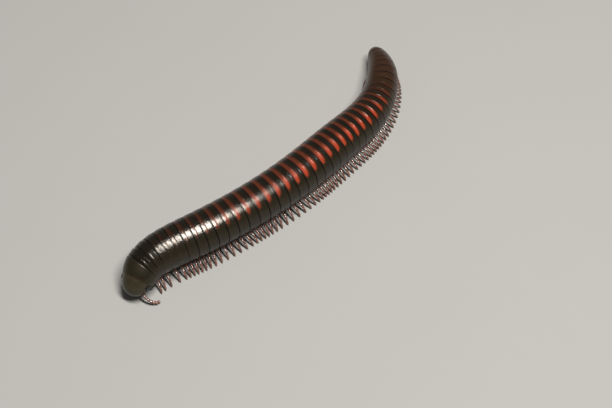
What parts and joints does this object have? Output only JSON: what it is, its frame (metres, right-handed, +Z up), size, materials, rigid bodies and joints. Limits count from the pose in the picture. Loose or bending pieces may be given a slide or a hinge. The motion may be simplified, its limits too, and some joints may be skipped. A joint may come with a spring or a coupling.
{
  "type": "millipede model",
  "caption": "Still life-size round-backed millipede: domed head with short feelers, collar plate, ringed tapering body on many small legs, bent in a gentle curve.",
  "frame": {"origin": "middle of the model's bounding box on the floor, at the level of the feet", "axes": "+Y along the body from head to tail, +Z up out of the back, +X to the animal's left"},
  "size_m": [0.0238, 0.0924, 0.0122],
  "materials": {
    "head_capsule": "glossy olive brown cuticle",
    "eye_field": "glossy black, finely beaded",
    "antenna": "satin red brown cuticle",
    "jaw_base": "satin dark brown cuticle",
    "lower_lip": "satin red brown cuticle",
    "collum_shield": "glossy dark olive brown cuticle",
    "body_rings": "glossy black cuticle with orange-red bands, red brown legs",
    "tail_ring": "glossy dark red brown cuticle",
    "anal_valve": "satin dark red cuticle"
  },
  "bodies": {
    "root": {"head": "head_capsule", "eye_left": "eye_field", "eye_right": "eye_field", "antenna_left": "antenna", "antenna_right": "antenna", "mandible_left": "jaw_base", "mandible_right": "jaw_base", "gnathochilarium": "lower_lip", "collum": "collum_shield", "trunk_rings_02_05": "body_rings", "trunk_rings_06_10": "body_rings", "trunk_rings_11_15": "body_rings", "trunk_rings_16_20": "body_rings", "trunk_rings_21_25": "body_rings", "trunk_rings_26_30": "body_rings", "trunk_rings_31_35": "body_rings", "trunk_rings_36_39": "body_rings", "preanal_ring": "tail_ring", "anal_valve_left": "anal_valve", "anal_valve_right": "anal_valve"}
  },
  "joints": []
}
